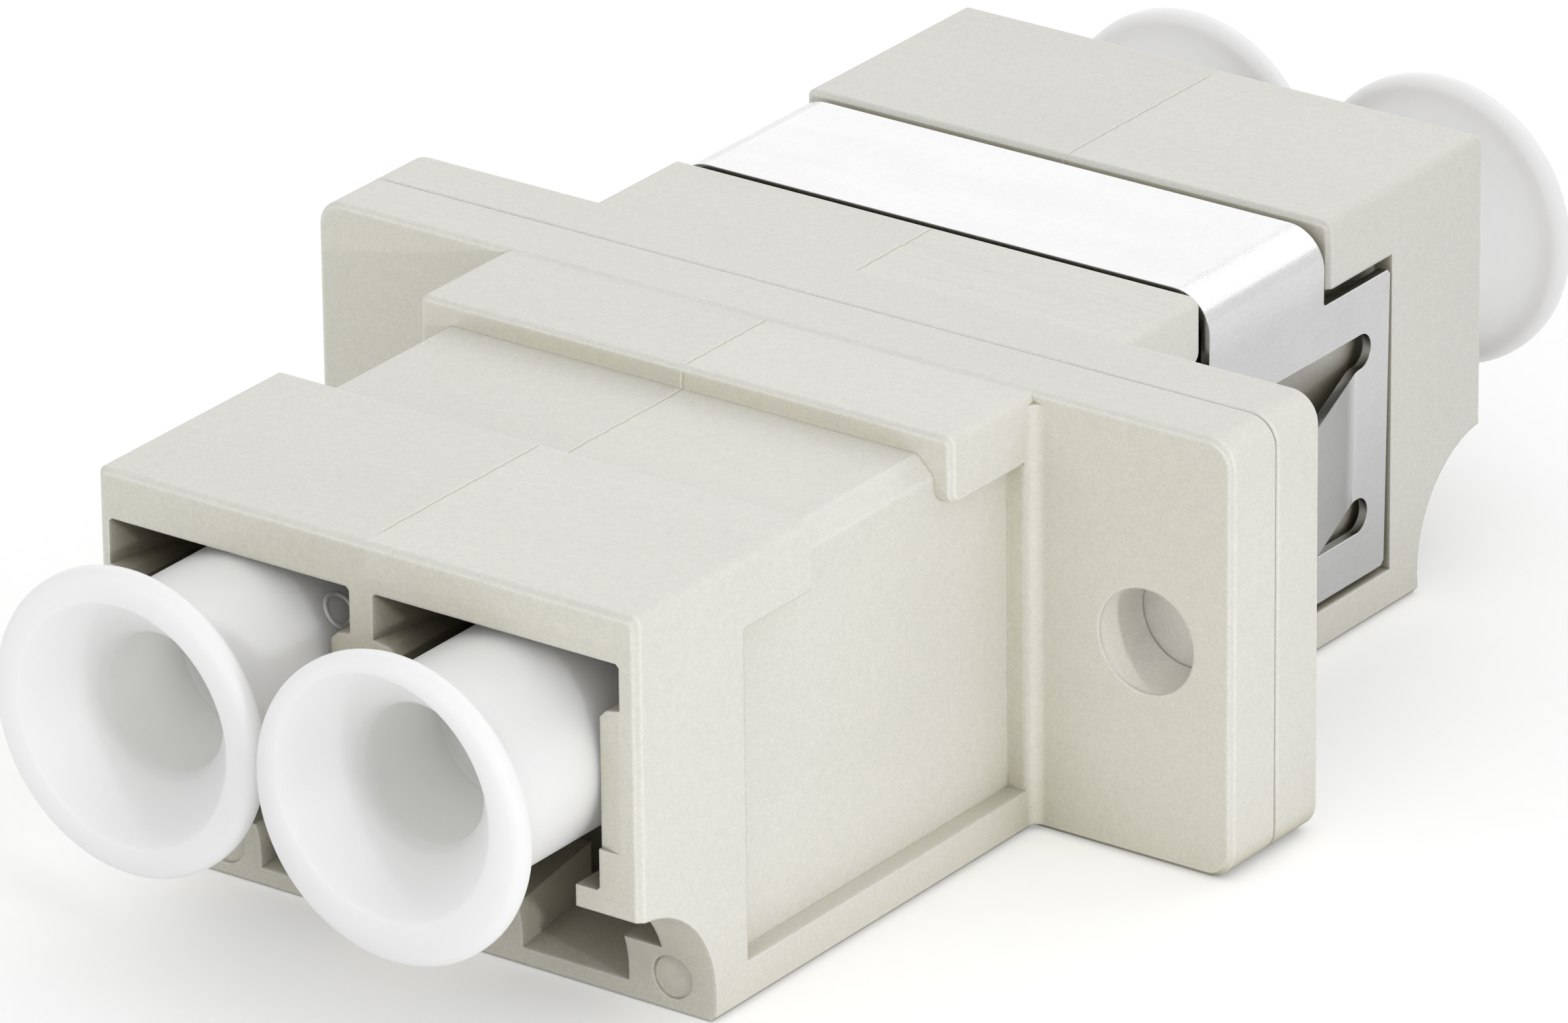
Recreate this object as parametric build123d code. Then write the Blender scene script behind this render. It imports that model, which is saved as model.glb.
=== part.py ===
from build123d import *
from math import atan, cos, degrees, sin, sqrt
import os

# Duplex fibre optic adapter in the simplex panel footprint. Millimetres, +Z up, +Y towards the rear mouth.
# The origin is under the middle of the seam between the two moulded halves.
# A depth is measured from a mouth face inwards to the seam. Both halves are one moulding: the rear one
# is the front one turned half a turn about Z. A port is drawn centred on x = 0 and moved to its place.

# Port: a nearly square guide that widens above its lip at the mouth
port_axis = 5.795
guide_width = 4.70
guide_headroom = 0.08
guide_corner = 0.07
guide_shift = -0.08
lip_side = 0.525
lip_drop = 1.05
lip_corner = 0.17
lip_slope = 0.266
lip_depth = 3.0
lead_width = 0.5
lead_depth = 0.09
lead_rise = 0.87
port_web = 0.55
port_wall = 0.35
port_roof = 1.025

# Latch space under the guide: hooks at the mouth, a channel behind them and ledges beside the slot
hook_gap = 3.42
hook_height = 0.5
hook_depth = 1.9
channel_width = 4.10
channel_foot = 0.305
channel_depth = 10.0
slot_width = 2.52
slot_shift = -0.09
slot_ramp_rise = 0.40
ledge_start = 2.2
ledge_end = 4.6
ledge_rise_front = 1.0
ledge_rise_back = 1.4

# Body of one half, from the mouth to the seam
ear_length = 5.64
groove_length = 4.53
pad_length = 2.74
top_round = 0.20
base_edge = 0.10
mouth_edge = 0.12
pad_edge = 0.10
ear_edge = 0.10

# Flange of one half
flange_thickness = 1.51
flange_rise = 0.045
flange_corner = 0.6
flange_edge = 0.10
flange_root = 0.25
seam_edge = 0.06
fixing_offset = 2.625
fixing_margin = 2.0
fixing_bore = 2.2

# Groove and side recesses that take the panel clip
groove_drop = 0.485
groove_slope = 0.39
recess_reach = 2.27
recess_gap = 0.32
recess_drop = 0.42
recess_foot = 0.89
recess_shoulder = 1.44
skirt_corner = 0.32

# Scoop under each mouth, with an ejector mark near each end
scoop_radius = 2.45
scoop_setback = 0.1
scoop_height = 0.505
ejector_radius = 0.45
ejector_sink = 0.05
ejector_inset = 1.015
ejector_height = 0.675

# Split sleeves, and the tubes that hold them in the partition between the ports
ferrule_diameter = 1.25
ferrule_clearance = 0.06
sleeve_wall = 0.185
sleeve_length = 6.5
sleeve_slit = 0.30
sleeve_clearance = 0.06
partition = 1.52
tube_wall = 0.42
tube_length = 2.5
tube_lip = 0.65
tube_lead = 0.15

# Panel clip: one sheet folded over the body, with a tongue bent out of a window in each side
clip_sheet = 0.20
clip_sink = 0.025
clip_bend = 0.85
clip_splay = 0.15
clip_side_gap = 0.025
clip_end_gap = 0.21
clip_foot_gap = 0.19
clip_top_gap = 0.21
clip_corner = 0.10
clip_notch = 0.10
band_ear_gap = 0.34
band_pad_gap = 0.14
rib_low = 1.04
rib_high = 1.085
window_gap = 0.76
window_tip_gap = 0.3
window_round = 0.3
tongue_margin = 1.02
tongue_reach = 5.94
tongue_slope = 0.337
tongue_bend = 0.8
tongue_corner = 0.45

# Dust caps: a trumpet head outside the mouth and a stem in the port
head_gap = 0.03
head_lip = 0.56
head_front_edge = 0.20
head_back_edge = 0.26
head_waist = 0.20
head_waist_at = 1.02
head_length = 1.75
rim_width = 0.65
funnel_depth = 1.26
finger_bore = 1.42
finger_depth = 3.7
stem_clearance = 0.125
cap_end_gap = 1.0
cap_bore_clearance = 0.2
cap_web = 0.8

# How each cap sits: its face stands out of the mouth, its inner end lies above the port's axis, and the
# rear caps hang down from there and lie a little to one side. One funnel is off its cap's axis.
front_right_stand_out = 3.57
front_left_stand_out = 3.46
rear_right_stand_out = 3.55
rear_left_stand_out = 3.64
front_left_lift = 0.08
rear_lift = -0.12
rear_droop = 0.16
rear_right_shift = 0.03
rear_left_shift = -0.05
funnel_shift = 0.08
funnel_lift = 0.27

# Cutters run this far past the faces that they open, and this far into what they join
overcut = 1.0
bond = 0.1

# Sizes that follow from those above
guide_height = guide_width + guide_headroom
guide_foot = port_axis - guide_height / 2
guide_roof = port_axis + guide_height / 2
lip_foot = guide_roof - lip_drop
lip_width = guide_width + 2 * lip_side
port_pitch = lip_width + port_web
hook_foot = guide_foot - hook_height

body_width = port_pitch + lip_width + 2 * port_wall
body_height = guide_roof + port_roof
groove_end = ear_length + groove_length
flange_front = groove_end + pad_length
half_length = flange_front + flange_thickness
cavity_depth = half_length - partition

fixing_spacing = body_width + 2 * fixing_offset
flange_width = fixing_spacing + 2 * fixing_margin
flange_height = body_height + flange_rise

groove_floor = body_height - groove_drop
recess_start = ear_length - recess_reach
recess_end = flange_front - recess_gap
recess_top = body_height - recess_shoulder
recess_floor = body_width / 2 - recess_drop

sleeve_radius = ferrule_diameter / 2 + sleeve_wall
tube_bore = sleeve_radius + sleeve_clearance
tube_radius = tube_bore + tube_wall
tube_tip = cavity_depth - tube_length
ferrule_entry = ferrule_diameter / 2 + ferrule_clearance

clip_side = body_width / 2 - clip_side_gap
clip_crown = body_height - clip_sink
clip_foot = recess_foot + clip_foot_gap
clip_shoulder = recess_top - clip_top_gap
clip_start = recess_start + clip_end_gap
clip_end = recess_end - clip_end_gap
tongue_foot = clip_foot + rib_low + window_gap
tongue_top = clip_shoulder - rib_high - window_gap
tongue_fold = clip_start + tongue_margin
tongue_angle = atan(tongue_slope)
splay_angle = atan(clip_splay / clip_crown)

head_radius = port_pitch / 2 - head_gap
funnel_radius = head_radius - rim_width
stem_radius = guide_width / 2 - stem_clearance
cap_bore = tube_radius + cap_bore_clearance

# Each cap: side of its port, stand-out, lift, droop, shift outwards, and its funnel's shift inwards and lift
front_caps = {
    "dust_cap_front_right": (1, front_right_stand_out, 0, 0, 0, funnel_shift, funnel_lift),
    "dust_cap_front_left": (-1, front_left_stand_out, front_left_lift, 0, 0, 0, 0),
}
rear_caps = {
    "dust_cap_rear_right": (-1, rear_right_stand_out, rear_lift, rear_droop, rear_right_shift, 0, 0),
    "dust_cap_rear_left": (1, rear_left_stand_out, rear_lift, rear_droop, rear_left_shift, 0, 0),
}


def box_at(x0, x1, depth0, depth1, z0, z1):
    middle = ((x0 + x1) / 2, (depth0 + depth1) / 2 - half_length, (z0 + z1) / 2)
    return Pos(*middle) * Box(x1 - x0, depth1 - depth0, z1 - z0)


def across(points, x0, x1):
    """Prism from an outline of (depth, height) points, running from x0 to x1."""
    face = make_face(Polyline(*[(x0, depth - half_length, z) for depth, z in points], close=True))
    return extrude(face, amount=x1 - x0, dir=(1, 0, 0))


def upright(points, z0, z1):
    """Prism from an outline of (x, depth) points, running from z0 to z1."""
    face = make_face(Polyline(*[(x, depth - half_length, z0) for x, depth in points], close=True))
    return extrude(face, amount=z1 - z0, dir=(0, 0, 1))


def endways(points, depth0, depth1):
    """Prism from an outline of (x, height) points, running from depth0 to depth1."""
    face = make_face(Polyline(*[(x, depth0 - half_length, z) for x, z in points], close=True))
    return extrude(face, amount=depth1 - depth0, dir=(0, 1, 0))


def rod(x, z, radius, depth0, depth1):
    middle = Pos(x, (depth0 + depth1) / 2 - half_length, z)
    return middle * Rot(90, 0, 0) * Cylinder(radius, depth1 - depth0)


def both_sides(part):
    return part + mirror(part, Plane.YZ)


def turned(part):
    return Rot(0, 0, 180) * part


def edges_at(part, axis, depth=None, z=None):
    """Edges along an axis, at one depth or height or both."""
    found = part.edges().filter_by(axis)
    if depth is not None:
        found = found.filter_by(lambda edge: abs(edge.center().Y + half_length - depth) < bond / 10)
    if z is not None:
        found = found.filter_by(lambda edge: abs(edge.center().Z - z) < bond / 10)
    return found


def body_block():
    half = body_width / 2
    block = box_at(-half, half, 0, half_length, 0, body_height)
    block = fillet(edges_at(block, Axis.Y, z=body_height), top_round)
    block = chamfer(edges_at(block, Axis.Y, z=0), base_edge)
    return chamfer(block.faces().sort_by(Axis.Y)[0].edges(), mouth_edge)


def flange_plate():
    half = flange_width / 2
    plate = box_at(-half, half, flange_front, half_length, 0, flange_height)
    plate = fillet(plate.edges().filter_by(Axis.Y), flange_corner)
    plate = chamfer(plate.faces().sort_by(Axis.Y)[0].edges(), flange_edge)
    return chamfer(plate.faces().sort_by(Axis.Y)[-1].edges(), seam_edge)


def flange_roots():
    """Hollow fillets where the body's sides meet the flange."""
    side, face = body_width / 2, -flange_thickness
    hollow = flange_root * (1 - sqrt(0.5))
    z = base_edge
    outline = [ThreePointArc((side, face - flange_root, z), (side + hollow, face - hollow, z),
                             (side + flange_root, face, z)),
               Line((side + flange_root, face, z), (side, face, z)),
               Line((side, face, z), (side, face - flange_root, z))]
    return both_sides(extrude(make_face(outline), amount=body_height - top_round - z, dir=(0, 0, 1)))


def fixing_holes():
    return both_sides(rod(fixing_spacing / 2, flange_height / 2, fixing_bore / 2,
                          flange_front - overcut, half_length + overcut))


def clip_seat():
    """Groove over the top and a stepped recess down each side, with a slope where the two meet."""
    half = body_width / 2
    above = body_height + overcut
    groove = box_at(-half - overcut, half + overcut, ear_length, groove_end, groove_floor, above)
    recess = across([(recess_start, recess_foot), (recess_end, recess_foot), (recess_end, recess_top),
                     (groove_end, recess_top), (groove_end, above), (ear_length, above),
                     (ear_length, recess_top), (recess_start, recess_top)], recess_floor, half + overcut)
    recess = fillet(edges_at(recess, Axis.X, groove_end, recess_top), skirt_corner)
    slope = endways([(recess_floor - groove_slope, groove_floor), (recess_floor, groove_floor - groove_slope),
                     (recess_floor + bond, groove_floor)], ear_length, groove_end)
    return groove + both_sides(recess + slope)


def scoop():
    half = body_width / 2
    trough = Pos(0, -scoop_setback - half_length, scoop_height) * Rot(0, 90, 0) * Cylinder(
        scoop_radius, body_width + overcut)
    reach = sqrt(scoop_radius ** 2 - (ejector_height - scoop_height) ** 2) - scoop_setback
    mark = rod(half - ejector_inset, ejector_height, ejector_radius, 0, reach + ejector_sink)
    return trough + both_sides(mark)


def guide():
    """The straight guide, with its long corners broken."""
    half = guide_width / 2
    block = box_at(-half, half, -overcut, cavity_depth, guide_foot, guide_roof)
    return chamfer(block.edges().filter_by(Axis.Y), guide_corner)


def mouth_widening():
    """The guide's wider mouth, which tapers away inwards, over a foot that slopes down to a broken corner."""
    half = guide_width / 2
    outer = half + lip_side * (1 + overcut / lip_depth)
    foot_rise = lip_slope * (outer - half - lip_corner)
    right = [(half, lip_foot - lip_corner), (half + lip_corner, lip_foot), (outer, lip_foot + foot_rise),
             (outer, guide_roof)]
    section = endways(right + [(-x, z) for x, z in reversed(right)], -overcut, lip_depth)
    taper = upright([(-outer, -overcut), (outer, -overcut), (half, lip_depth), (-half, lip_depth)],
                    lip_foot - lip_corner, guide_roof)
    widening = section & taper
    roof = widening.edges().filter_by(lambda edge: edge.center().Z > guide_roof - bond / 10
                                      and edge.length > lip_depth and abs(edge.center().X) > half)
    return chamfer(roof, guide_corner)


def mouth_lead():
    """Slanted strips beside the mouth that lead a plug in."""
    half = guide_width / 2
    strip = upright([(half - bond, lead_depth), (half, lead_depth), (half + lead_width, 0),
                     (half + lead_width, -overcut), (half - bond, -overcut)],
                    guide_foot + lead_rise, guide_roof - bond)
    return both_sides(strip)


def latch_space():
    half_hook, half_channel = hook_gap / 2, channel_width / 2
    gap = box_at(-half_hook, half_hook, -overcut, hook_depth + bond, hook_foot - bond, guide_foot + bond)
    upper = box_at(-half_channel, half_channel, hook_depth, channel_depth, hook_foot - bond,
                   guide_foot + bond)
    lower = box_at(-half_channel, half_channel, -overcut, channel_depth, channel_foot, hook_foot)
    return gap + upper + lower


def latch_ledges():
    """Ledges on both sides of the latch slot, and the ramp between them."""
    slot_left, slot_right = slot_shift - slot_width / 2, slot_shift + slot_width / 2
    half_channel = channel_width / 2
    back, front = channel_foot + ledge_rise_back, channel_foot + ledge_rise_front
    outline = [(-overcut, channel_foot), (ledge_end, channel_foot), (ledge_end, back),
               (ledge_start, front), (-overcut, front)]
    ramp = across([(ledge_start, channel_foot), (ledge_end, channel_foot),
                   (ledge_end, channel_foot + slot_ramp_rise)], slot_left, slot_right)
    return across(outline, slot_right, half_channel) + across(outline, -half_channel, slot_left) + ramp


def sleeve_bore():
    """Stepped bore through a tube and the partition: a lead, the ferrule's hole and the sleeve's seat."""
    seat = rod(0, port_axis, tube_bore, tube_tip + tube_lip, half_length + overcut)
    hole = rod(0, port_axis, ferrule_entry, tube_tip - overcut, half_length)
    lead = Pos(0, tube_tip + tube_lead / 2 - half_length, port_axis) * Rot(-90, 0, 0) * Cone(
        ferrule_entry + tube_lead, ferrule_entry, tube_lead)
    return seat + hole + lead


def port_places():
    return [Pos(-port_pitch / 2, 0, 0), Pos(port_pitch / 2, 0, 0)]


def housing_half():
    half = body_block() + flange_plate() + flange_roots()
    half = half - clip_seat() - scoop() - fixing_holes()
    half = chamfer(edges_at(half, Axis.X, groove_end, body_height), pad_edge)
    half = chamfer(edges_at(half, Axis.X, ear_length, body_height), ear_edge)
    space = Pos(guide_shift, 0, 0) * (guide() + mouth_widening() + mouth_lead()) + latch_space()
    space = space - latch_ledges()
    tube = rod(0, port_axis, tube_radius, tube_tip, cavity_depth + bond)
    for place in port_places():
        half = half - place * space + place * tube - place * sleeve_bore()
    return half


def alignment_sleeve():
    """Split sleeve lying across the seam, centred on x = 0."""
    start, end = half_length - sleeve_length / 2, half_length + sleeve_length / 2
    sleeve = rod(0, port_axis, sleeve_radius, start, end)
    sleeve -= rod(0, port_axis, ferrule_diameter / 2, start - overcut, end + overcut)
    return sleeve - box_at(-sleeve_slit / 2, sleeve_slit / 2, start - overcut, end + overcut,
                           port_axis, port_axis + sleeve_radius + overcut)


def clip_outline():
    """Side view of the clip: a wide plate below and a narrower band above."""
    above = body_height + overcut
    band_start, band_end = ear_length + band_ear_gap, groove_end - band_pad_gap
    plate = across([(clip_start, clip_foot), (clip_end, clip_foot), (clip_end, clip_shoulder),
                    (band_end, clip_shoulder), (band_end, above), (band_start, above),
                    (band_start, clip_shoulder), (clip_start, clip_shoulder)], -body_width, body_width)
    for depth in (clip_start, clip_end):
        plate = chamfer(edges_at(plate, Axis.X, depth), clip_corner)
    for depth in (band_start, band_end):
        plate = fillet(edges_at(plate, Axis.X, depth, clip_shoulder), clip_notch)
    return plate


def clip_window():
    """Opening that the tongue is bent out of, as long as the flat tongue, with round ends beside the fold."""
    tip = tongue_fold + tongue_reach / cos(tongue_angle) + window_tip_gap
    low, high = tongue_foot - window_gap, tongue_top + window_gap
    window = across([(tongue_fold, low), (tip, low), (tip, high), (tongue_fold, high)],
                    -body_width, body_width)
    for z in (low, high):
        window = fillet(edges_at(window, Axis.X, tip, z), window_round)
    end = Rot(0, 90, 0) * Cylinder(window_gap / 2, 2 * body_width)
    for z in (tongue_foot - window_gap / 2, tongue_top + window_gap / 2):
        window += Pos(0, tongue_fold - half_length, z) * end
    return window


def clip_section(side, top):
    """Outline of the folded clip from the front, its sides splayed towards the top."""
    high = side + clip_splay * top / clip_crown
    return endways([(-side, 0), (side, 0), (high, top), (-high, top)], -overcut, half_length)


def clip_tongue():
    """Tongue on the +X side, bent outwards, its free end towards the flange."""
    centre_x = clip_side + tongue_bend
    length = (tongue_reach - tongue_bend * sin(tongue_angle)) / cos(tongue_angle)

    def on_bend(radius, turn):
        return (centre_x - radius * cos(turn), tongue_fold + radius * sin(turn) - half_length, tongue_foot)

    def at_tip(point):
        return (point[0] + length * sin(tongue_angle), point[1] + length * cos(tongue_angle), tongue_foot)

    turns = (0, tongue_angle / 2, tongue_angle)
    outside = [on_bend(tongue_bend, turn) for turn in turns]
    inside = [on_bend(tongue_bend + clip_sheet, turn) for turn in turns]
    outline = [ThreePointArc(*outside), Line(outside[2], at_tip(outside[2])),
               Line(at_tip(outside[2]), at_tip(inside[2])), Line(at_tip(inside[2]), inside[2]),
               ThreePointArc(*inside), Line(inside[0], outside[0])]
    tongue = extrude(make_face(outline), amount=tongue_top - tongue_foot, dir=(0, 0, 1))
    short = tongue.edges().filter_by(lambda edge: edge.length < clip_sheet + bond / 10)
    tongue = fillet(short.sort_by(Axis.X)[-2:], tongue_corner)
    return Pos(clip_side, 0, 0) * Rot(0, degrees(splay_angle), 0) * Pos(-clip_side, 0, 0) * tongue


def panel_clip():
    """Folded sheet over the top and down both sides, with a bent tongue in each side."""
    under = clip_crown - clip_sheet
    outside = fillet(edges_at(clip_section(clip_side, clip_crown), Axis.Y, z=clip_crown), clip_bend)
    inside = clip_section(clip_side - clip_sheet / cos(splay_angle), under)
    inside = fillet(edges_at(inside, Axis.Y, z=under), clip_bend - clip_sheet)
    sheet = ((outside - inside) & clip_outline()) - clip_window()
    return sheet + both_sides(clip_tongue())


def dust_cap(side, stand_out, lift, droop, shift, funnel_in, funnel_up):
    """Cap in a port on one side of the front mouth."""
    stem_end = stand_out + cavity_depth - cap_end_gap
    bore_start = stand_out + tube_tip - cap_web
    outline = Polyline((0, 0), (head_radius - head_front_edge, 0), (head_radius, head_front_edge),
                       (head_radius, head_lip - head_back_edge), (head_radius - head_back_edge, head_lip),
                       (stem_radius + head_waist, head_waist_at), (stem_radius, head_length),
                       (stem_radius, stem_end), (0, stem_end), close=True)
    solid = revolve(make_face(outline), axis=Axis.Y)
    widening = (funnel_radius - finger_bore) / funnel_depth
    funnel = revolve(make_face(Polyline((0, -overcut), (funnel_radius + widening * overcut, -overcut),
                                        (finger_bore, funnel_depth), (finger_bore, finger_depth),
                                        (0, finger_depth), close=True)), axis=Axis.Y)
    back_bore = Pos(0, (bore_start + stem_end + overcut) / 2, 0) * Rot(90, 0, 0) * Cylinder(
        cap_bore, stem_end + overcut - bore_start)
    cap = solid - Pos(-side * funnel_in, 0, funnel_up) * funnel - back_bore
    hang = Rot(degrees(atan(droop / stem_end)), 0, 0) * Pos(0, -stem_end, 0)
    inner_end = stem_end - half_length - stand_out
    return Pos(side * (port_pitch / 2 + shift), inner_end, port_axis + lift) * hang * cap


half = housing_half()
clip = panel_clip()
nodes = {
    "front_housing": half,
    "rear_housing": turned(half),
    "panel_clip": turned(clip),
}
for name, place in zip(("alignment_sleeve_left", "alignment_sleeve_right"), port_places()):
    nodes[name] = place * alignment_sleeve()
for name, seating in front_caps.items():
    nodes[name] = dust_cap(*seating)
for name, seating in rear_caps.items():
    nodes[name] = turned(dust_cap(*seating))

os.makedirs("parts", exist_ok=True)
for name, part in nodes.items():
    export_step(part, os.path.join("parts", name + ".step"))
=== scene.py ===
import math
from collections import namedtuple

import bmesh
import bpy
from mathutils import Matrix, Vector


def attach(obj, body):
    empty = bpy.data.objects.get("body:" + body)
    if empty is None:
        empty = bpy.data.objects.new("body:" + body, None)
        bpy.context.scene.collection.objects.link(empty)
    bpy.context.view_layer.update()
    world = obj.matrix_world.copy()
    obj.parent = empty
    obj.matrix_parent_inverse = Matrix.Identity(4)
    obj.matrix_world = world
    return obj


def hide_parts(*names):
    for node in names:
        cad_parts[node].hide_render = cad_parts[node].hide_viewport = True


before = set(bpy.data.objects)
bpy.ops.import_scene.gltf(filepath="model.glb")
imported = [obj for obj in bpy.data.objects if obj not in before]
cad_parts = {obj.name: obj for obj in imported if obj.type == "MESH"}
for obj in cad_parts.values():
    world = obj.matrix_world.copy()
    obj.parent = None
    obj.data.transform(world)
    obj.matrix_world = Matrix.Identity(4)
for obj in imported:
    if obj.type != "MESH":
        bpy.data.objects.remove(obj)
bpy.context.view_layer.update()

MM = 0.001

# Camera, solved from the straight edges in the photograph: metres, degrees, and millimetres
# for the lens and sensor
CAMERA_AT = (0.1412745, -0.195706, 0.110696)
CAMERA_AZIMUTH = 35.955
CAMERA_ELEVATION = 23.729
CAMERA_ROLL = -0.652
CAMERA_LENS = 307.16
CAMERA_SENSOR = 36.0
CAMERA_NEAR, CAMERA_FAR = 0.01, 10.0

# Light: an even white surround, a soft key in front and two bright panels behind.
# Each panel: place, width and height, power in watts
WORLD_LIGHT = 0.72
LAMPS = {
    "key_light": ((0.10, -0.38, 0.12), (0.30, 0.30), 0.20),
    "back_left_light": ((-0.27, 0.335, 0.165), (0.34, 0.16), 0.10),
    "back_right_light": ((0.09, 0.37, 0.27), (0.44, 0.22), 0.30),
}

# Side spot: place, the point it is aimed at, width of its cone in degrees, radius, power in watts
SPOT_AT = (0.29, -0.09, 0.08)
SPOT_AIM = (0.006, -0.010, 0.004)
SPOT_CONE = 9.0
SPOT_RADIUS = 0.008
SPOT_POWER = 0.85

# Floor: half its width, its level, its paper's tone, and how much brighter it is seen than lit
FLOOR_HALF = 1.5
FLOOR_Z = -0.00002
FLOOR_TONE = (0.955, 0.965)
FLOOR_GLOW = 0.22

# Colours, written as they look on a screen
BEIGE = (0.885, 0.880, 0.850)
# painted shade: a duller, yellower beige for faces turned ahead
BEIGE_FRONT_SHADE = (0.868, 0.862, 0.814)
# painted shade: a warm yellowish beige in half-open places
BEIGE_HALF_SHADE = (0.875, 0.862, 0.785)
BEIGE_SHADE = (0.480, 0.420, 0.230)
# painted light: a lighter beige on the walls of the fixing holes
BEIGE_HOLE_LIGHT = (0.945, 0.935, 0.905)
# painted shade: the colour of the lines beside edges, in creases, on the hairline's shaded flank
# and beside the seam in the holes
BEIGE_OLIVE_SHADE = (0.780, 0.755, 0.640)
BEIGE_SEAM = (0.640, 0.610, 0.500)
# painted highlight on lit edges and on the hairline's lit flank
BEIGE_HIGHLIGHT = (0.985, 0.985, 0.965)
CAP_WHITE = (0.965, 0.965, 0.965)
# painted light: a warmer, lighter white deep inside the caps
CAP_DEEP_LIGHT = (0.990, 0.990, 0.965)
STEEL = (0.800, 0.800, 0.800)
BRONZE = (0.760, 0.520, 0.330)
TARNISH = 0.85

# Noise patterns: size of their features in millimetres, detail, roughness. Most values of a noise
# lie in its middle
NOISE_MIDDLE = (0.3, 0.7)
GRAIN = (0.06, 2.0, 0.6)
MOTTLE = (0.22, 2.0, 0.5)
FLOW = (2.6, 3.0, 0.55)
SCRATCHES = (0.06, 2.0, 0.6)
PEEL = (0.35, 2.0, 0.5)
CLOUD = (1.8, 2.0, 0.5)
STEEL_GRAIN = (0.05, 3.0, 0.65)
ROLLED = (0.05, 2.0, 0.6)
SMEAR = (1.2, 3.0, 0.55)
TURNED_LINES = (0.06, 2.0, 0.5)
TARNISHED = (0.9, 3.0, 0.6)
FIBRE = (0.6, 2.0, 0.5)

# Stretch of the long-drawn patterns: below one, they are drawn out along that axis
FLOW_STRETCH = (0.35, 1.0, 1.0)
SCRATCH_STRETCH = (0.03, 1.0, 1.0)
ROLLED_STRETCH = (1.0, 0.10, 1.0)
SMEAR_STRETCH = (0.5, 1.0, 0.5)
LINES_STRETCH = (0.05, 1.0, 0.05)

# Housing, where its marks lie, in millimetres. A pair is where a mark begins and where it is full
TOP_FACES = (8.4, 8.6)
CLEAR_OF_FLANGE = (1.50, 1.55)
CLEAR_OF_MOUTH = (14.25, 13.7)
RIGHT_HALF = (-0.02, 0.02)
PAD_START = (1.6, 2.0)
PAD_END = (4.25, 3.9)
HOLE_X = 9.0
HOLE_Z = 4.6275
HOLE_RADIUS = 1.1
HOLE_SKIN = (0.03, 0.005)
HOLE_LENGTH = (1.50, 1.40)

# Housing, the thin lines: middle and half width, in millimetres. The hairline where the mould
# parts has a painted highlight on one flank and painted shade on the other; beside the seam in the
# fixing holes lies a painted shadow
LIT_FLANK = (-0.028, 0.022)
SHADED_FLANK = (0.022, 0.032)
SEAM = (0.0, 0.035)
BELOW_SEAM_SHADOW = (0.08, 0.10)
LINE_WANDER = (-0.012, 0.012)

# Housing, how far light is looked for round a point, and the rounding of edges, in millimetres
CLOSE_BY = 0.30
FAR_OFF = 5.0
EDGE_RADIUS = 0.11

# Housing, from nothing to full by how a face turns or how open its place is
FACES_UP_OR_OUT = (0.90, 0.98)
FACES_AHEAD = (-0.60, -0.95)
NEAR_EDGE = (0.999, 0.97)
ON_EDGE = (0.992, 0.93)
OPEN_PLACE = (0.50, 0.80)
LIT_PLACE = (0.20, 0.50)
GAP_CLOSE_BY = (0.24, 0.08)
GAP_FAR_OFF = (0.10, 0.01)
# where the warm painted shade of half-open places begins and where it is full
HALF_SHADE_PLACE = (0.46, 0.26)
SHADY_PLACE = (0.36, 0.08)
# how open a place must be for the painted shade lines and the seam to show
OLIVE_SHADE_AND_SEAM_PLACE = (0.15, 0.45)
RUBBED_SCRATCHES = (0.42, 0.66)

# Housing, tones: least and most of each pattern, then what the marks add or take away: painted
# light on the right half of the top, the rubbed pad's wear, painted shade in gaps
GRAIN_TONE = (0.942, 1.024)
MOTTLE_TONE = (-0.014, 0.014)
FLOW_TONE = (-0.010, 0.010)
RIGHT_HALF_LIGHT = 0.035
RUBBED_DULL = 0.05
GAP_SHADE = 0.80

# Housing, strength of each mark in the painted shade colour and in the painted highlight colour
BESIDE_EDGE_SHADE_STRENGTH = 0.6
CREASE_SHADE_STRENGTH = 0.75
SHADED_FLANK_STRENGTH = 0.8
SEAM_SHADOW_STRENGTH = 0.6
EDGE_HIGHLIGHT_STRENGTH = 0.9
LIT_FLANK_STRENGTH = 0.6

# Housing, surface: roughness, how much smoother the lit edges are, height of the grain, of all
# relief
HOUSING_ROUGHNESS = (0.42, 0.50)
EDGE_POLISH = 0.15
GRAIN_HEIGHT = 0.25
HOUSING_RELIEF = 0.012

# Caps, look: reach of the shading in millimetres, openness of deep and dish-shaped places, tones,
# and the painted shade in dish-shaped places
CAP_REACH = 3.0
DEEP_PLACE = (0.50, 0.30)
DISHED_PLACE = (0.92, 0.76)
CLOUD_TONE = (0.985, 1.0)
DISHED_SHADE = 0.16
CAP_ROUGHNESS = (0.36, 0.46)
CAP_RELIEF = 0.002

# Caps, light inside: share by colour, reach in millimetres in open and in deep places
SCATTER = (1.0, 0.97, 0.92)
SCATTER_PLACE = (0.80, 0.30)
SCATTER_REACH = (1.0, 3.0)

# Clip: its side face at the floor, how far that leans out for each millimetre up, how far the
# sprung tongues stand proud of it
CLIP_SIDE = 6.35
CLIP_SPLAY = 0.0163
TONGUE_PROUD = (0.04, 0.25)

# Clip, places in millimetres: the fold by distance from the middle and by height, the side
# plates by height, their painted sheen under the fold and their foot, where painted shade
# darkens them
FOLD_INNER = (5.62, 5.78)
FOLD_OUTER = (6.36, 6.20)
FOLD_HEIGHT = (8.5, 8.7)
SIDE_PLATE = (8.4, 8.2)
FOLD_SIDE = (5.75, 6.10)
FOLD_SIDE_HEIGHT = (7.6, 8.5)
FOOT_HEIGHT = (0.5, 6.5)

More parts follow.
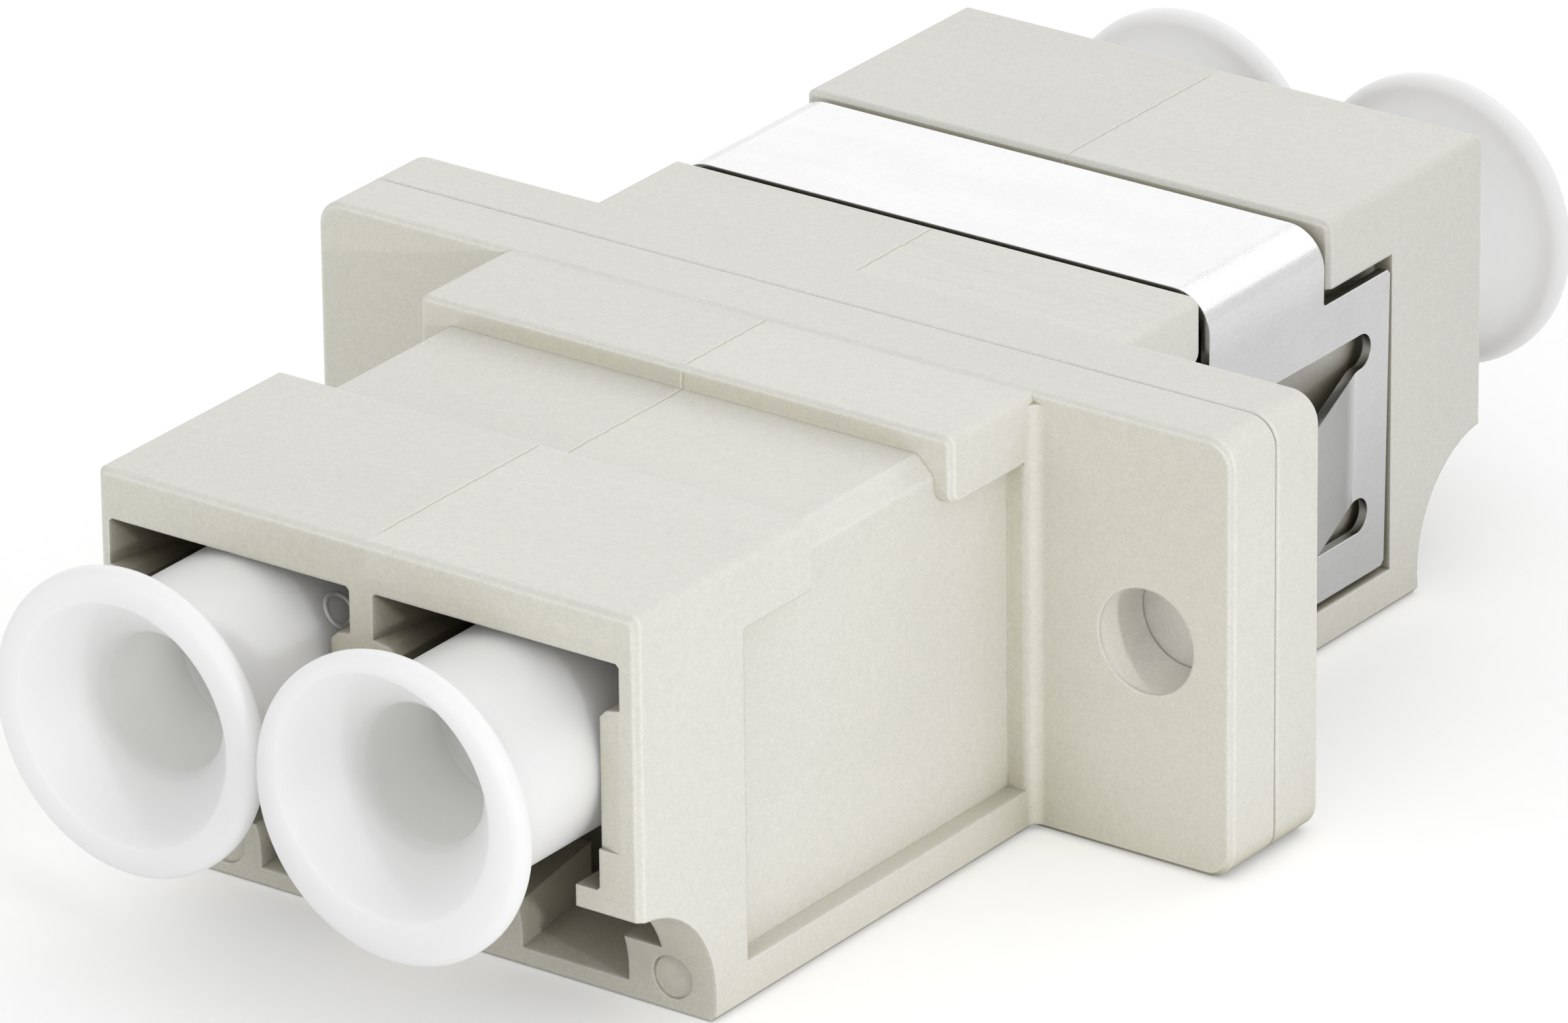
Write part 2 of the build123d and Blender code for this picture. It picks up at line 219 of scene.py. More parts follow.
# Clip, tones: the random patterns', then the painted shade, sheen and highlights
STEEL_MIDDLE = (0.25, 0.75)
STEEL_GRAIN_TONE = (0.93, 1.04)
SMEAR_TONE = (-0.02, 0.02)
ROLLED_TONE = (0.98, 1.01)
FOOT_SHADE = (0.82, 1.0)
FOLD_SIDE_SHEEN = 0.14
TONGUE_SHADE = 0.50
FOLD_HIGHLIGHT = 0.20
RIM_HIGHLIGHT = 0.22
STEEL_GAP_SHADE = (0.20, 1.0)

# Clip, shading: its reach in millimetres, painted shade in gaps and painted highlights on open
# rims by openness, rims by turn
STEEL_REACH = 0.8
STEEL_GAP = (0.15, 0.60)
OPEN_RIM = (0.45, 0.75)
ON_RIM = (0.985, 0.85)

# Metal surfaces: rounding of edges in millimetres, roughness, relief, and how much stronger the
# frosted fold's grain is
METAL_EDGE = 0.03
STEEL_ROUGHNESS = (0.15, 0.26)
STEEL_RELIEF = 0.0010
FROST = 16.0
BRONZE_ROUGHNESS = (0.22, 0.38)
BRONZE_RELIEF = 0.002
TARNISHED_PLACE = (0.35, 0.75)

# Dust cap, in millimetres, as the CAD has it: the face is at depth 0, the stem runs inwards
HEAD_RADIUS = 3.12
HEAD_FRONT_EDGE = 0.20
HEAD_BACK_EDGE = 0.26
HEAD_LIP = 0.56
HEAD_LENGTH = 1.75
STEM_RADIUS = 2.225
STEM_EDGE = 0.15
FUNNEL_RADIUS = 2.47
FUNNEL_DEPTH = 1.26
FINGER_BORE = 1.42
FINGER_DEPTH = 3.7
FINGER_EDGE = 0.12
BACK_BORE = 1.49
BACK_BORE_LENGTH = 2.3

# Soft step from the finger bore to the funnel, and the funnel's lip: (outwards, inwards) from
# the corner there
FUNNEL_STEP = ((0.0, 0.12), (0.012, 0.045), (0.05, -0.03), (0.10, -0.12))
FUNNEL_LIP = ((-0.03, 0.06), (0.0, 0.022), (0.06, 0.0))

# Fineness of the caps: facets round and steps in a rounding. A run longer than LONG_RUN guards
# gets an extra point one guard, in millimetres, from each of its ends
CAP_SEGMENTS = 160
ARC_STEPS = 6
GUARD = 0.04
LONG_RUN = 6

# Where the caps sit: the port's axis, the mouth and how far a stem reaches behind it
PORT_SIDE = 3.15
PORT_AXIS = 5.795
MOUTH = -14.42
STEM_REACH = 11.9

# Each cap: the body it rides on, port side, stand-out, lift, droop, shift outwards, funnel's shift
# inwards and up, and whether it is drawn at the front and turned to the rear
Seat = namedtuple("Seat", "body side stand_out lift droop shift funnel_in funnel_up rear",
                  defaults=(0.0, 0.0, 0.0, 0.0, 0.0, False))
CAPS = {
    "dust_cap_front_right": Seat("front_right_cap", 1, 3.57, funnel_in=0.08, funnel_up=0.27),
    "dust_cap_front_left": Seat("front_left_cap", -1, 3.46, lift=0.08),
    "dust_cap_rear_right": Seat("rear_right_cap", -1, 3.55, lift=-0.12, droop=0.16, shift=0.03,
                                rear=True),
    "dust_cap_rear_left": Seat("rear_left_cap", 1, 3.64, lift=-0.12, droop=0.16, shift=-0.05,
                               rear=True),
}

# Ring left by a mould pin on the left front stem: angle round the stem, depth behind the cap's
# face, ring's radius, its rim's radius, the rim's rise as a share of that, and fineness
PIN_ANGLE = 34.5
PIN_DEPTH = 4.38
PIN_RADIUS = 0.33
PIN_RIM = 0.055
PIN_RISE = 0.6
PIN_STEPS = 12
PIN_AROUND = 64


def linear(colour):
    """A screen colour as the renderer takes it."""
    def one(c):
        return c / 12.92 if c <= 0.04045 else ((c + 0.055) / 1.055) ** 2.4
    return tuple(one(c) for c in colour) + (1.0,)


class Nodes:
    """Short calls for building one node tree."""

    def __init__(self, tree):
        self.tree = tree

    def add(self, kind, **settings):
        node = self.tree.nodes.new("ShaderNode" + kind)
        for name, value in settings.items():
            setattr(node, name, value)
        return node

    def feed(self, socket, value):
        if isinstance(value, bpy.types.NodeSocket):
            self.tree.links.new(value, socket)
        elif value is not None:
            socket.default_value = value

    def math(self, operation, a, b=None, c=None, clamp=False):
        node = self.add("Math", operation=operation, use_clamp=clamp)
        for socket, value in zip(node.inputs, (a, b, c)):
            self.feed(socket, value)
        return node.outputs[0]

    def plus(self, first, *others):
        for value in others:
            first = self.math("ADD", first, value)
        return first

    def minus(self, a, b):
        return self.math("SUBTRACT", a, b)

    def times(self, first, *others):
        for value in others:
            first = self.math("MULTIPLY", first, value)
        return first

    def greatest(self, first, *others):
        for value in others:
            first = self.math("MAXIMUM", first, value)
        return first

    def size(self, value):
        return self.math("ABSOLUTE", value)

    def square(self, value):
        return self.math("POWER", self.size(value), 2.0)

    def dot(self, a, b):
        node = self.add("VectorMath", operation="DOT_PRODUCT")
        self.feed(node.inputs[0], a)
        self.feed(node.inputs[1], b)
        return node.outputs["Value"]

    def axes(self, vector):
        node = self.add("SeparateXYZ")
        self.feed(node.inputs[0], vector)
        return node.outputs

    def ramp(self, value, low, high, to_low=0.0, to_high=1.0):
        node = self.add("MapRange", interpolation_type="SMOOTHSTEP")
        for socket, number in zip(node.inputs, (value, low, high, to_low, to_high)):
            self.feed(socket, number)
        return node.outputs[0]

    def spread(self, noise, low, high, middle=NOISE_MIDDLE):
        """A noise, drawn out over the range from low to high."""
        return self.ramp(noise, *middle, low, high)

    def peak(self, value, centre, half_width):
        """One at the centre, falling to nothing half_width away on both sides."""
        return self.ramp(self.size(self.minus(value, centre)), half_width, 0.0)

    def mix(self, factor, a, b, blend="MIX"):
        node = self.add("Mix", data_type="RGBA", blend_type=blend)
        self.feed(node.inputs[0], factor)
        self.feed(node.inputs[6], a)
        self.feed(node.inputs[7], b)
        return node.outputs[2]

    def grey(self, value):
        node = self.add("CombineColor")
        for socket in node.inputs[:3]:
            self.feed(socket, value)
        return node.outputs[0]

    def toned(self, colour, tone):
        return self.mix(1.0, colour, self.grey(tone), "MULTIPLY")

    def place(self, stretch=(1, 1, 1)):
        """The point on the object, in millimetres, stretched."""
        coordinates = self.add("TexCoord")
        mapping = self.add("Mapping")
        self.feed(mapping.inputs["Vector"], coordinates.outputs["Object"])
        mapping.inputs["Scale"].default_value = [s / MM for s in stretch]
        return mapping.outputs[0]

    def noise(self, place, size, detail, roughness):
        """Noise with features about this many millimetres across."""
        node = self.add("TexNoise")
        self.feed(node.inputs["Vector"], place)
        node.inputs["Scale"].default_value = 1.0 / size
        node.inputs["Detail"].default_value = detail
        node.inputs["Roughness"].default_value = roughness
        return node.outputs["Fac"]

    def true_normal(self):
        return self.add("NewGeometry").outputs["True Normal"]

    def soft_edge(self, radius):
        """The normal, rounded over edges."""
        node = self.add("Bevel", samples=4)
        node.inputs["Radius"].default_value = radius * MM
        return node.outputs[0]

    def occlusion(self, distance, only_local=True):
        """How open a place is: one in the open, nothing in a closed gap."""
        node = self.add("AmbientOcclusion", samples=4, only_local=only_local)
        node.inputs["Distance"].default_value = distance * MM
        return node.outputs["AO"]

    def bump(self, height, distance, normal=None):
        node = self.add("Bump")
        node.inputs["Strength"].default_value = 1.0
        node.inputs["Distance"].default_value = distance * MM
        self.feed(node.inputs["Height"], height)
        self.feed(node.inputs["Normal"], normal)
        return node.outputs[0]

    def seen(self):
        """One for what the camera sees, also in a reflection or through something clear."""
        path = self.add("LightPath").outputs
        return self.greatest(path["Is Camera Ray"], path["Is Glossy Ray"],
                             path["Is Transmission Ray"])


def new_material(name):
    material = bpy.data.materials.new(name)
    material.use_nodes = True
    return material, Nodes(material.node_tree), material.node_tree.nodes["Principled BSDF"]


def moulded_plastic(name):
    """Beige moulded plastic: fine grain, flow marks, painted highlights on lit edges, painted
    shade in creases, hollows and gaps and on faces turned ahead, painted light in the fixing holes
    and on the right half of the top, a hairline where the mould parts with painted highlight and
    shade on its flanks, a rubbed pad, and the seam between the halves, with a painted shadow
    beside it in the holes."""
    material, nodes, shader = new_material(name)
    place = nodes.place()
    grain = nodes.noise(place, *GRAIN)
    mottle = nodes.noise(place, *MOTTLE)
    flow = nodes.noise(nodes.place(FLOW_STRETCH), *FLOW)
    scratches = nodes.noise(nodes.place(SCRATCH_STRETCH), *SCRATCHES)
    x, y, z = nodes.axes(place)
    along = nodes.size(y)
    true_normal = nodes.true_normal()
    facing = nodes.axes(true_normal)

    up_or_out = nodes.greatest(facing["Z"], nodes.size(facing["Y"]))
    parted = nodes.times(nodes.ramp(up_or_out, *FACES_UP_OR_OUT), nodes.ramp(z, *TOP_FACES),
                         nodes.ramp(along, *CLEAR_OF_FLANGE))
    right_half = nodes.times(nodes.ramp(x, *RIGHT_HALF), parted)
    wander = nodes.plus(x, nodes.spread(mottle, *LINE_WANDER))
    parted = nodes.times(parted, nodes.ramp(along, *CLEAR_OF_MOUTH))
    # the hairline's flanks: painted highlight on one, painted shade on the other, which is also a
    # dip in the relief
    lit_flank = nodes.times(nodes.peak(wander, *LIT_FLANK), parted)
    shaded_flank = nodes.times(nodes.peak(wander, *SHADED_FLANK), parted)

    edge_normal = nodes.soft_edge(EDGE_RADIUS)
    turn = nodes.dot(edge_normal, true_normal)
    near_edge = nodes.ramp(turn, *NEAR_EDGE)
    close_by = nodes.occlusion(CLOSE_BY)
    open_place = nodes.ramp(close_by, *OPEN_PLACE)
    sky = nodes.occlusion(FAR_OFF, only_local=False)
    # painted shade in narrow gaps and deep crevices
    gap_shade = nodes.greatest(nodes.ramp(close_by, *GAP_CLOSE_BY), nodes.ramp(sky, *GAP_FAR_OFF))
    lit_place = nodes.times(open_place, nodes.ramp(sky, *LIT_PLACE))
    # painted highlight along lit edges in open places
    lit_edge = nodes.times(nodes.ramp(turn, *ON_EDGE), lit_place)
    # painted shade: a line beside the lit edges, and in creases
    shade_beside_edge = nodes.math("SUBTRACT", nodes.times(near_edge, 0.5), lit_edge, clamp=True)
    crease_shade = nodes.times(near_edge, nodes.minus(1.0, open_place))

    from_hole = nodes.plus(nodes.square(nodes.minus(nodes.size(x), HOLE_X)),
                           nodes.square(nodes.minus(z, HOLE_Z)))
    hole_wall = [(HOLE_RADIUS + skin) ** 2 for skin in HOLE_SKIN]
    in_hole = nodes.times(nodes.ramp(from_hole, *hole_wall), nodes.ramp(along, *HOLE_LENGTH))
    seam = nodes.peak(y, *SEAM)
    # painted shadow beside the seam inside the fixing holes
    seam_shadow_in_hole = nodes.times(nodes.peak(y, *BELOW_SEAM_SHADOW), in_hole)

    # painted shade: faces turned ahead take a duller, yellower beige
    colour = nodes.mix(nodes.ramp(facing["Y"], *FACES_AHEAD), linear(BEIGE), linear(BEIGE_FRONT_SHADE))
    # painted shade, warm, where the place is half open
    colour = nodes.mix(nodes.ramp(sky, *HALF_SHADE_PLACE), colour, linear(BEIGE_HALF_SHADE))
    colour = nodes.mix(nodes.ramp(sky, *SHADY_PLACE), colour, linear(BEIGE_SHADE))
    # painted light on the walls of the fixing holes
    colour = nodes.mix(in_hole, colour, linear(BEIGE_HOLE_LIGHT))
    # painted shade lines, together with the seam's own dark line
    olive_shade_and_seam = nodes.greatest(nodes.times(shade_beside_edge, BESIDE_EDGE_SHADE_STRENGTH),
                           nodes.times(crease_shade, CREASE_SHADE_STRENGTH),
                           nodes.times(shaded_flank, SHADED_FLANK_STRENGTH),
                           nodes.times(seam_shadow_in_hole, SEAM_SHADOW_STRENGTH),
                           seam)
    olive_shade_and_seam = nodes.times(olive_shade_and_seam, nodes.ramp(sky, *OLIVE_SHADE_AND_SEAM_PLACE))
    colour = nodes.mix(olive_shade_and_seam, colour, nodes.mix(seam, linear(BEIGE_OLIVE_SHADE), linear(BEIGE_SEAM)))
    # painted highlight on lit edges and on the hairline's lit flank
    highlight = nodes.greatest(nodes.times(lit_edge, EDGE_HIGHLIGHT_STRENGTH),
                            nodes.times(lit_flank, LIT_FLANK_STRENGTH))
    colour = nodes.mix(highlight, colour, linear(BEIGE_HIGHLIGHT))

    on_pad = nodes.times(nodes.ramp(y, *PAD_START), nodes.ramp(y, *PAD_END))
    rubbed = nodes.times(on_pad, right_half, nodes.ramp(scratches, *RUBBED_SCRATCHES))
    # random grain, mottle and flow marks, and painted light on the right half of the top
    tone = nodes.plus(nodes.spread(grain, *GRAIN_TONE),
                      nodes.spread(mottle, *MOTTLE_TONE),
                      nodes.spread(flow, *FLOW_TONE),
                      nodes.times(right_half, RIGHT_HALF_LIGHT))
    tone = nodes.minus(tone, nodes.times(rubbed, RUBBED_DULL))
    # painted shade in gaps
    tone = nodes.minus(tone, nodes.times(gap_shade, GAP_SHADE))
    nodes.feed(shader.inputs["Base Color"], nodes.toned(colour, tone))

    rough = nodes.minus(nodes.spread(grain, *HOUSING_ROUGHNESS), nodes.times(lit_edge, EDGE_POLISH))
    nodes.feed(shader.inputs["Roughness"], rough)
    height = nodes.minus(nodes.minus(nodes.times(grain, GRAIN_HEIGHT), shaded_flank), seam)
    nodes.feed(shader.inputs["Normal"], nodes.bump(height, HOUSING_RELIEF, edge_normal))
    return material


def soft_plastic(name, translucent=True):
    """White soft plastic of the caps: smooth with a faint orange peel, letting light through,
    with painted light, warmer, deep inside and painted shade in dish-shaped places."""
    material, nodes, shader = new_material(name)
    place = nodes.place()
    peel = nodes.noise(place, *PEEL)
    cloud = nodes.noise(place, *CLOUD)
    openness = nodes.occlusion(CAP_REACH)
    deep = nodes.ramp(openness, *DEEP_PLACE)
    # painted shade in dish-shaped places, such as the funnel
    dished_shade = nodes.times(nodes.ramp(openness, *DISHED_PLACE), nodes.minus(1.0, deep))
    tone = nodes.minus(nodes.spread(cloud, *CLOUD_TONE), nodes.times(dished_shade, DISHED_SHADE))
    # painted light deep inside
    colour = nodes.mix(deep, linear(CAP_WHITE), linear(CAP_DEEP_LIGHT))
    nodes.feed(shader.inputs["Base Color"], nodes.toned(colour, tone))
    nodes.feed(shader.inputs["Roughness"], nodes.spread(peel, *CAP_ROUGHNESS))
    shader.inputs["Subsurface Weight"].default_value = 1.0 if translucent else 0.0
    shader.inputs["Subsurface Radius"].default_value = SCATTER
    reach = nodes.ramp(openness, *SCATTER_PLACE, *(r * MM for r in SCATTER_REACH))
    nodes.feed(shader.inputs["Subsurface Scale"], reach)
    nodes.feed(shader.inputs["Normal"], nodes.bump(peel, CAP_RELIEF))
    return material


def sheet_steel(name):
    """Rolled stainless sheet: fine grain, a frosted fold with a painted highlight, painted sheen
    below the fold, painted shade towards its foot, on the sprung tongues and in gaps, and painted
    highlights on the rims of the side plates."""
    material, nodes, shader = new_material(name)
    place = nodes.place()
    grain = nodes.noise(place, *STEEL_GRAIN)
    rolled = nodes.noise(nodes.place(ROLLED_STRETCH), *ROLLED)
    smear = nodes.noise(nodes.place(SMEAR_STRETCH), *SMEAR)
    x, _, up = nodes.axes(place)
    aside = nodes.size(x)

    folded = nodes.times(nodes.ramp(aside, *FOLD_INNER), nodes.ramp(aside, *FOLD_OUTER),
                         nodes.ramp(up, *FOLD_HEIGHT))
    on_side = nodes.ramp(up, *SIDE_PLATE)
    # painted sheen on the side plates just under the fold
    fold_side_sheen = nodes.ramp(aside, *FOLD_SIDE, 0.0, FOLD_SIDE_SHEEN)
    proud = nodes.minus(aside, nodes.math("MULTIPLY_ADD", up, CLIP_SPLAY, CLIP_SIDE))
    tongue = nodes.times(nodes.ramp(proud, *TONGUE_PROUD), on_side)
    sky = nodes.occlusion(STEEL_REACH, only_local=False)
    edge_normal = nodes.soft_edge(METAL_EDGE)
    turn = nodes.dot(edge_normal, nodes.true_normal())
    # painted highlight on the rims of the side plates
    rim_highlight = nodes.times(nodes.ramp(turn, *ON_RIM), nodes.ramp(sky, *OPEN_RIM), on_side)

    tone = nodes.plus(nodes.spread(grain, *STEEL_GRAIN_TONE, STEEL_MIDDLE),
                      nodes.spread(smear, *SMEAR_TONE))
    tone = nodes.times(tone, nodes.spread(rolled, *ROLLED_TONE))
    # painted shade: the side plates darker towards the foot
    tone = nodes.times(tone, nodes.ramp(up, *FOOT_HEIGHT, *FOOT_SHADE))
    # painted sheen under the fold
    tone = nodes.plus(tone, nodes.times(nodes.ramp(up, *FOLD_SIDE_HEIGHT), fold_side_sheen))
    # painted shade on the sprung tongues
    tone = nodes.times(tone, nodes.minus(1.0, nodes.times(tongue, TONGUE_SHADE)))
    # painted highlight on the fold and on the side plates' rims
    tone = nodes.plus(tone, nodes.times(folded, FOLD_HIGHLIGHT), nodes.times(rim_highlight, RIM_HIGHLIGHT))
    # painted shade in gaps, as round the sprung tongues
    tone = nodes.times(tone, nodes.ramp(sky, *STEEL_GAP, *STEEL_GAP_SHADE))
    nodes.feed(shader.inputs["Base Color"], nodes.toned(linear(STEEL), tone))

    shader.inputs["Metallic"].default_value = 1.0
    nodes.feed(shader.inputs["Roughness"], nodes.spread(grain, *STEEL_ROUGHNESS))
    height = nodes.times(grain, nodes.math("MULTIPLY_ADD", folded, FROST, 1.0))
    nodes.feed(shader.inputs["Normal"], nodes.bump(height, STEEL_RELIEF, edge_normal))
    return material


def turned_bronze(name):
    """Bronze of the sleeves: turning lines round it, and tarnish."""
    material, nodes, shader = new_material(name)
    lines = nodes.noise(nodes.place(LINES_STRETCH), *TURNED_LINES)
    tarnish = nodes.noise(nodes.place(), *TARNISHED)
    dull = linear([c * TARNISH for c in BRONZE])
    colour = nodes.mix(nodes.ramp(tarnish, *TARNISHED_PLACE), linear(BRONZE), dull)
    nodes.feed(shader.inputs["Base Color"], colour)
    shader.inputs["Metallic"].default_value = 1.0
    nodes.feed(shader.inputs["Roughness"], nodes.spread(lines, *BRONZE_ROUGHNESS))
    relief = nodes.bump(lines, BRONZE_RELIEF, nodes.soft_edge(METAL_EDGE))
    nodes.feed(shader.inputs["Normal"], relief)
    return material


def paper_floor(name):
    """Pale sweep: the camera sees it a little brighter than it is lit, so that it ends white and
    keeps the shadow."""
    material, nodes, shader = new_material(name)
    fibre = nodes.noise(nodes.place(), *FIBRE)
    nodes.feed(shader.inputs["Base Color"], nodes.grey(nodes.spread(fibre, *FLOOR_TONE)))
    shader.inputs["Roughness"].default_value = 1.0
    shader.inputs["Specular IOR Level"].default_value = 0.0
    glow = nodes.add("Emission")
    nodes.feed(glow.inputs["Strength"], nodes.times(nodes.seen(), FLOOR_GLOW))
    both = nodes.add("AddShader")
    nodes.feed(both.inputs[0], shader.outputs[0])
    nodes.feed(both.inputs[1], glow.outputs[0])
    surface = material.node_tree.nodes["Material Output"].inputs["Surface"]
    nodes.feed(surface, both.outputs[0])
    return material


def linked(name, data):
    """A new object in the scene."""
    thing = bpy.data.objects.new(name, data)
    bpy.context.scene.collection.objects.link(thing)
    return thing


def make_camera():
    data = bpy.data.cameras.new("camera")
    data.lens = CAMERA_LENS
    data.sensor_width = CAMERA_SENSOR
    data.sensor_fit = "HORIZONTAL"
    data.clip_start = CAMERA_NEAR
    data.clip_end = CAMERA_FAR
    camera = linked("camera", data)
    azimuth, elevation = math.radians(CAMERA_AZIMUTH), math.radians(CAMERA_ELEVATION)
    forward = Vector((-math.sin(azimuth) * math.cos(elevation),
                      math.cos(azimuth) * math.cos(elevation),
                      -math.sin(elevation)))
    roll = Matrix.Rotation(math.radians(CAMERA_ROLL), 3, "Z")
    turn = forward.to_track_quat("-Z", "Y").to_matrix() @ roll
    camera.matrix_world = Matrix.Translation(CAMERA_AT) @ turn.to_4x4()
    bpy.context.scene.camera = camera


def hang(data, at, aim):
    """Hangs a lamp, turned towards the point it is aimed at."""
    lamp = linked(data.name, data)
    lamp.location = at
    lamp.rotation_mode = "QUATERNION"
    lamp.rotation_quaternion = (Vector(aim) - Vector(at)).to_track_quat("-Z", "Y")


def area_lamp(name, at, size, power):
    data = bpy.data.lights.new(name, "AREA")
    data.shape = "RECTANGLE"
    data.size, data.size_y = size
    data.energy = power
    hang(data, at, (0, 0, 0))


def side_spot():
    data = bpy.data.lights.new("side_spot", "SPOT")
    data.spot_size = math.radians(SPOT_CONE)
    data.spot_blend = 1.0
    data.shadow_soft_size = SPOT_RADIUS
    data.energy = SPOT_POWER
    hang(data, SPOT_AT, SPOT_AIM)


def make_world():
    world = bpy.data.worlds.new("world")
    bpy.context.scene.world = world
    world.use_nodes = True
    world.node_tree.nodes.clear()
    nodes = Nodes(world.node_tree)
    background = nodes.add("Background")
    background.inputs["Color"].default_value = (1, 1, 1, 1)
    strength = nodes.plus(nodes.times(nodes.seen(), 1.0 - WORLD_LIGHT), WORLD_LIGHT)
    nodes.feed(background.inputs["Strength"], strength)
    nodes.feed(nodes.add("OutputWorld").inputs["Surface"], background.outputs[0])


def make_floor():
    mesh = bpy.data.meshes.new("floor")
    half = FLOOR_HALF
    corners = [(-half, -half, 0), (half, -half, 0), (half, half, 0), (-half, half, 0)]
    mesh.from_pydata(corners, [], [(0, 1, 2, 3)])
    floor = linked("floor", mesh)
    floor.location.z = FLOOR_Z
    mesh.materials.append(paper_floor("floor"))


def dress(thing, material):
    thing.data.materials.clear()
    thing.data.materials.append(material)


def arc(centre, radii, start, end):
    """Points along a quarter of an ellipse in a profile, as (radius, depth)."""
    turns = [math.radians(start + (end - start) * i / ARC_STEPS) for i in range(ARC_STEPS + 1)]
    return [(centre[0] + radii[0] * math.cos(t), centre[1] + radii[1] * math.sin(t))
            for t in turns]


def guarded(points):
    """The same profile with a point near each end of every long run, which keeps the runs flat
    when smoothed."""
    result = [points[0]]
    for start, end in zip(points, points[1:]):
        run = math.dist(start, end)
        if run > LONG_RUN * GUARD:
            for part in (GUARD / run, 1 - GUARD / run):
                result.append(tuple(a + (b - a) * part for a, b in zip(start, end)))
        result.append(end)
    return result


def smooth_piece(name, vertices, faces, matrix, material):
    mesh = bpy.data.meshes.new(name)
    mesh.from_pydata([tuple(MM * v for v in matrix @ Vector(vertex)) for vertex in vertices],
                     [], faces)
    shape = bmesh.new()
    shape.from_mesh(mesh)
    bmesh.ops.recalc_face_normals(shape, faces=shape.faces)
    shape.to_mesh(mesh)
    shape.free()
    mesh.polygons.foreach_set("use_smooth", [True] * len(mesh.polygons))
    mesh.materials.append(material)
    return linked(name, mesh)


def ring_faces(rings, count, closed=False):
    """Quads between rings of vertices, numbered ring by ring."""
    faces = []
    for ring in range(rings if closed else rings - 1):
        this, following = ring * count, (ring + 1) % rings * count
        for i in range(count):
            j = (i + 1) % count
            faces.append((this + i, this + j, following + j, following + i))
    return faces


def cap_matrix(seat):
    length = seat.stand_out + STEM_REACH
    matrix = Matrix.Translation((seat.side * (PORT_SIDE + seat.shift),
                                 length + MOUTH - seat.stand_out, PORT_AXIS + seat.lift))
    droop = Matrix.Rotation(math.atan(seat.droop / length), 4, "X")
    matrix = matrix @ droop @ Matrix.Translation((0, -length, 0))
    return Matrix.Rotation(math.pi, 4, "Z") @ matrix if seat.rear else matrix


def cap_inside():
    """Profile of the finger bore and the funnel, from the bottom outwards."""
    points = arc((FINGER_BORE - FINGER_EDGE, FINGER_DEPTH - FINGER_EDGE),
                 (FINGER_EDGE, FINGER_EDGE), 90, 0)
    points += [(FINGER_BORE + out, FUNNEL_DEPTH + deep) for out, deep in FUNNEL_STEP]
    return points + [(FUNNEL_RADIUS + out, deep) for out, deep in FUNNEL_LIP]


def cap_outside(length):
    """Profile of the head, the stem and the back bore, from the face inwards."""
    flare = HEAD_RADIUS - HEAD_BACK_EDGE - STEM_RADIUS
    points = arc((HEAD_RADIUS - HEAD_FRONT_EDGE, HEAD_FRONT_EDGE),
                 (HEAD_FRONT_EDGE, HEAD_FRONT_EDGE), -90, 0)
    points += arc((HEAD_RADIUS - HEAD_BACK_EDGE, HEAD_LIP - HEAD_BACK_EDGE),
                  (HEAD_BACK_EDGE, HEAD_BACK_EDGE), 0, 90)
    points += arc((STEM_RADIUS + flare, HEAD_LENGTH), (-flare, HEAD_LIP - HEAD_LENGTH), 90, 0)[1:]
    points += arc((STEM_RADIUS - STEM_EDGE, length - STEM_EDGE), (STEM_EDGE, STEM_EDGE), 0, 90)
    return points + [(BACK_BORE, length), (BACK_BORE, length - BACK_BORE_LENGTH)]


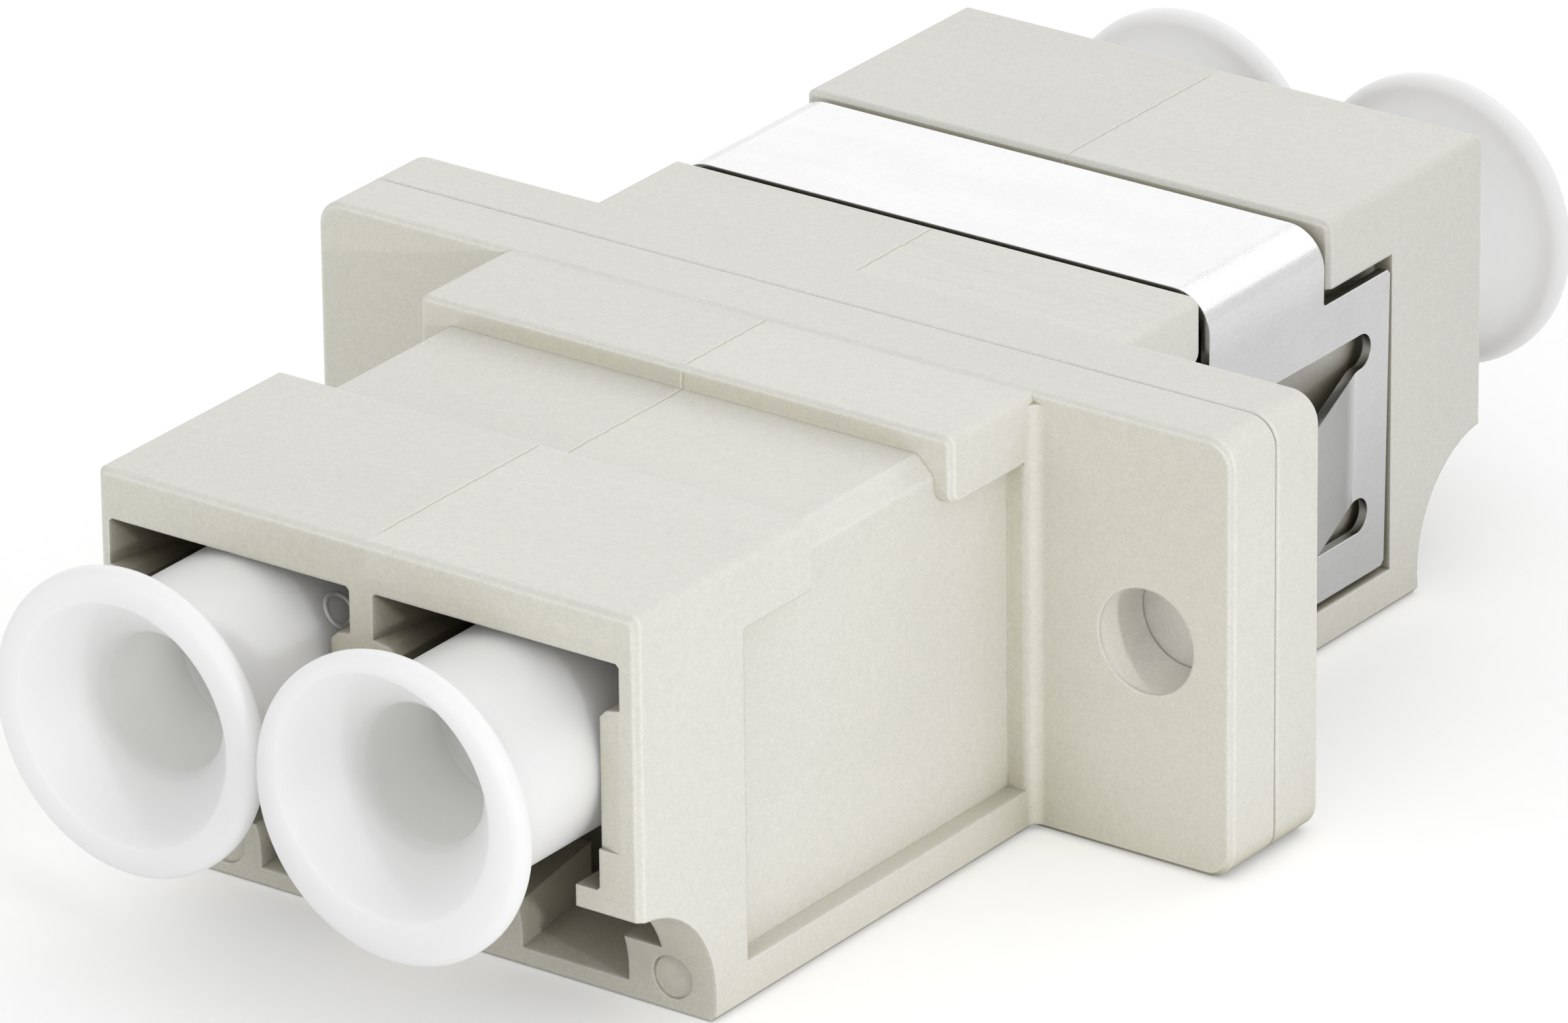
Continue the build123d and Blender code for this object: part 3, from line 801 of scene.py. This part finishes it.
def make_cap(node, seat, material):
    """Trumpet-shaped cap: finger bore and funnel round one axis, head, stem and back bore round
    the other."""
    body, side = seat.body, seat.side
    rings = [(r, d, -side * seat.funnel_in, seat.funnel_up) for r, d in guarded(cap_inside())]
    outside = cap_outside(seat.stand_out + STEM_REACH)
    rings += [(r, d, 0, 0) for r, d in guarded(outside)]
    vertices = []
    for radius, depth, cx, cz in rings:
        for i in range(CAP_SEGMENTS):
            turn = 2 * math.pi * i / CAP_SEGMENTS
            vertices.append((cx + radius * math.cos(turn), depth, cz + radius * math.sin(turn)))
    faces = ring_faces(len(rings), CAP_SEGMENTS)
    last = (len(rings) - 1) * CAP_SEGMENTS
    for start, (_, depth, cx, cz) in ((0, rings[0]), (last, rings[-1])):
        middle = len(vertices)
        vertices.append((cx, depth, cz))
        faces += [(start + i, start + (i + 1) % CAP_SEGMENTS, middle)
                  for i in range(CAP_SEGMENTS)]
    cap = smooth_piece(node.replace("dust_", "fine_"), vertices, faces, cap_matrix(seat), material)
    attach(cap, body)
    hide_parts(node)


def make_pin_ring(material):
    """Low ring on the left front stem, bent round it."""
    seat = CAPS["dust_cap_front_left"]
    body = seat.body
    vertices = []
    for i in range(PIN_AROUND):
        turn = 2 * math.pi * i / PIN_AROUND
        for j in range(PIN_STEPS):
            roll = 2 * math.pi * j / PIN_STEPS
            reach = PIN_RADIUS + PIN_RIM * math.cos(roll)
            radius = STEM_RADIUS + PIN_RISE * PIN_RIM * math.sin(roll)
            angle = math.radians(PIN_ANGLE) + reach * math.cos(turn) / STEM_RADIUS
            vertices.append((radius * math.cos(angle), PIN_DEPTH + reach * math.sin(turn),
                             radius * math.sin(angle)))
    faces = ring_faces(PIN_AROUND, PIN_STEPS, closed=True)
    ring = smooth_piece("pin_ring", vertices, faces, cap_matrix(seat), material)
    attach(ring, body)


make_camera()
make_world()
make_floor()
for name, (at, size, power) in LAMPS.items():
    area_lamp(name, at, size, power)
side_spot()

finishes = {
    "housing": moulded_plastic("beige_plastic"),
    "cap": soft_plastic("white_plastic"),
    "clip": sheet_steel("sheet_steel"),
    "sleeve": turned_bronze("bronze"),
}
for node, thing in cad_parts.items():
    for word, material in finishes.items():
        if word in node:
            dress(thing, material)
for node, seat in CAPS.items():
    make_cap(node, seat, finishes["cap"])
make_pin_ring(soft_plastic("pin_mark_plastic", translucent=False))

bpy.context.scene.view_settings.view_transform = "Standard"
